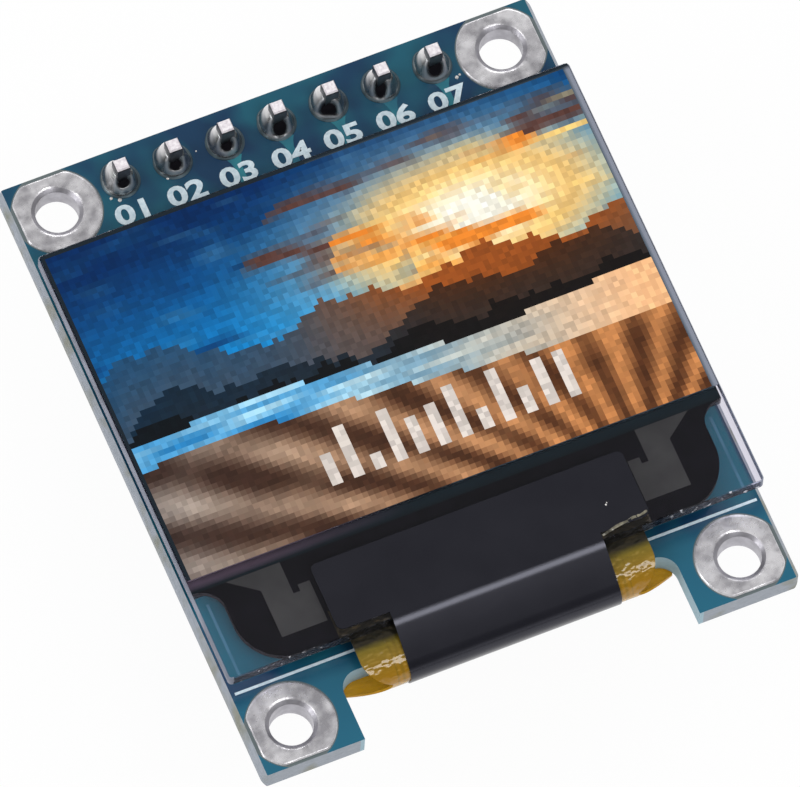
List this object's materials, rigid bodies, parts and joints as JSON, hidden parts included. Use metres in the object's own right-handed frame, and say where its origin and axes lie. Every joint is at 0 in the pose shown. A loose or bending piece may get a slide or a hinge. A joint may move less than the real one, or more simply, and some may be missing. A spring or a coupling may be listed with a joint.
{
  "type": "small colour oled display module",
  "caption": "Small glass display panel taped to a blue circuit board, with a folded flex cable through a slot, a pin header and corner mounting holes.",
  "frame": {"origin": "centre of the mounting-hole pattern on the back face of the circuit board", "axes": "+X across the board to the right as the display is read, +Y towards the pin header, +Z out of the display's front"},
  "size_m": [0.026, 0.0308, 0.0115],
  "materials": {
    "solder_mask_board": "glossy blue solder mask over glass-fibre laminate",
    "tinned_copper": "hot-dipped tin, uneven and satin",
    "black_plastic": "moulded nylon, satin",
    "foam_tape": "white double-sided tape",
    "rear_glass": "plain glass",
    "drying_sheet": "matt white sheet",
    "cured_resin": "clear cured resin",
    "light_layers": "lit picture area",
    "front_glass": "polished glass with ground edges",
    "polariser_film": "glossy film that shows the picture",
    "contact_metal": "thin dark grey metal on glass",
    "silicon": "polished silicon",
    "black_resin": "black potting resin",
    "polyimide_film": "glossy amber film with copper tracks",
    "black_tape": "satin black tape",
    "solder": "bright reflowed solder",
    "package_plastic": "moulded epoxy, matt",
    "ferrite": "fired ferrite, matt",
    "pin_plating": "bright tin plate",
    "capacitor_ceramic": "tan ceramic with tinned ends",
    "resistor_body": "black glaze on ceramic with tinned ends"
  },
  "bodies": {
    "root": {"board": "solder_mask_board", "mounting_lands": "tinned_copper", "header_strip": "black_plastic", "double_sided_tape": "foam_tape", "rear_glass": "rear_glass", "drying_sheet": "drying_sheet", "glass_seal": "cured_resin", "light_layers": "light_layers", "front_glass": "front_glass", "polariser": "polariser_film", "contact_left": "contact_metal", "contact_right": "contact_metal", "driver_chip": "silicon", "potting": "black_resin", "flex_cable": "polyimide_film", "shade_tape": "black_tape", "flex_solder": "solder", "regulator": "package_plastic", "boost_converter": "package_plastic", "inductor": "ferrite", "diode": "package_plastic", "header_pin_1": "pin_plating", "header_pin_2": "pin_plating", "header_pin_3": "pin_plating", "header_pin_4": "pin_plating", "header_pin_5": "pin_plating", "header_pin_6": "pin_plating", "header_pin_7": "pin_plating", "solder_joint_1": "solder", "solder_joint_2": "solder", "solder_joint_3": "solder", "solder_joint_4": "solder", "solder_joint_5": "solder", "solder_joint_6": "solder", "solder_joint_7": "solder", "capacitor_1": "capacitor_ceramic", "capacitor_2": "capacitor_ceramic", "capacitor_3": "capacitor_ceramic", "capacitor_4": "capacitor_ceramic", "capacitor_5": "capacitor_ceramic", "capacitor_6": "capacitor_ceramic", "resistor_1": "resistor_body", "resistor_2": "resistor_body", "resistor_3": "resistor_body", "resistor_4": "resistor_body", "resistor_5": "resistor_body", "resistor_6": "resistor_body"}
  },
  "joints": []
}
